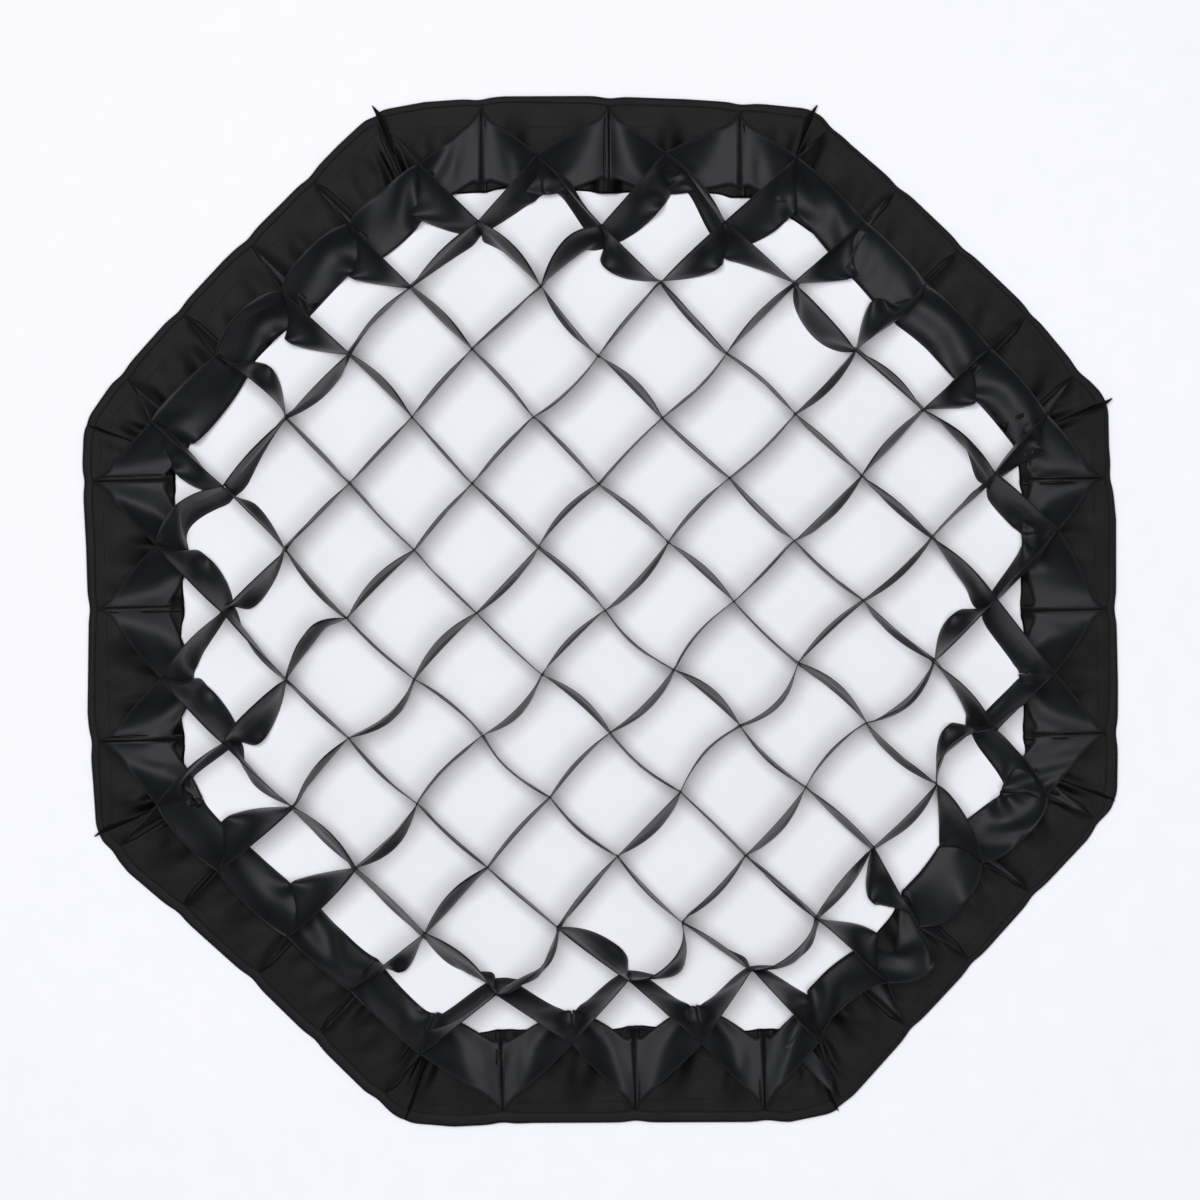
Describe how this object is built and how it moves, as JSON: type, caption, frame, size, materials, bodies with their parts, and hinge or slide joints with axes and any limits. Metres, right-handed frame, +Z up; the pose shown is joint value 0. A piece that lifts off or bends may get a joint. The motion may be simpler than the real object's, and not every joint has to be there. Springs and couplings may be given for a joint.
{
  "type": "octagonal softbox grid",
  "caption": "Octagonal black fabric eggcrate grid for an octabox, lying flat: diagonal square cells inside a pleated side band with taped edge and hook tape",
  "frame": {"origin": "centre of the octagon, at the level of the table it lies on", "axes": "+Z up, away from the table and towards the lamp's front edge of the cells; +X and +Y through the middle of two flat sides, and the cell walls run at 45 degrees to them"},
  "size_m": [0.5734, 0.5734, 0.0325],
  "materials": {
    "wall_cloth": "thin coated nylon, fine weave, soft sheen",
    "band_cloth": "black satin-backed polyester, faint sheen",
    "binding_tape": "black ribbed grosgrain tape",
    "hook_tape": "black woven tape with nylon hooks",
    "thread": "black polyester sewing thread"
  },
  "bodies": {
    "root": {"cell_wall_a_01": "wall_cloth", "cell_wall_a_02": "wall_cloth", "cell_wall_a_03": "wall_cloth", "cell_wall_a_04": "wall_cloth", "cell_wall_a_05": "wall_cloth", "cell_wall_a_06": "wall_cloth", "cell_wall_a_07": "wall_cloth", "cell_wall_a_08": "wall_cloth", "cell_wall_a_09": "wall_cloth", "cell_wall_a_10": "wall_cloth", "cell_wall_a_11": "wall_cloth", "cell_wall_b_01": "wall_cloth", "cell_wall_b_02": "wall_cloth", "cell_wall_b_03": "wall_cloth", "cell_wall_b_04": "wall_cloth", "cell_wall_b_05": "wall_cloth", "cell_wall_b_06": "wall_cloth", "cell_wall_b_07": "wall_cloth", "cell_wall_b_08": "wall_cloth", "cell_wall_b_09": "wall_cloth", "cell_wall_b_10": "wall_cloth", "cell_wall_b_11": "wall_cloth", "band_panel_east": "band_cloth", "edge_binding_east": "binding_tape", "hook_tape_east": "hook_tape", "band_panel_north_east": "band_cloth", "edge_binding_north_east": "binding_tape", "hook_tape_north_east": "hook_tape", "band_panel_north": "band_cloth", "edge_binding_north": "binding_tape", "hook_tape_north": "hook_tape", "band_panel_north_west": "band_cloth", "edge_binding_north_west": "binding_tape", "hook_tape_north_west": "hook_tape", "band_panel_west": "band_cloth", "edge_binding_west": "binding_tape", "hook_tape_west": "hook_tape", "band_panel_south_west": "band_cloth", "edge_binding_south_west": "binding_tape", "hook_tape_south_west": "hook_tape", "band_panel_south": "band_cloth", "edge_binding_south": "binding_tape", "hook_tape_south": "hook_tape", "band_panel_south_east": "band_cloth", "edge_binding_south_east": "binding_tape", "hook_tape_south_east": "hook_tape", "corner_seam_tips": "band_cloth", "binding_stitches": "thread", "hook_tape_stitches": "thread", "crossing_tacks": "thread", "wall_end_stitches": "thread"}
  },
  "joints": []
}
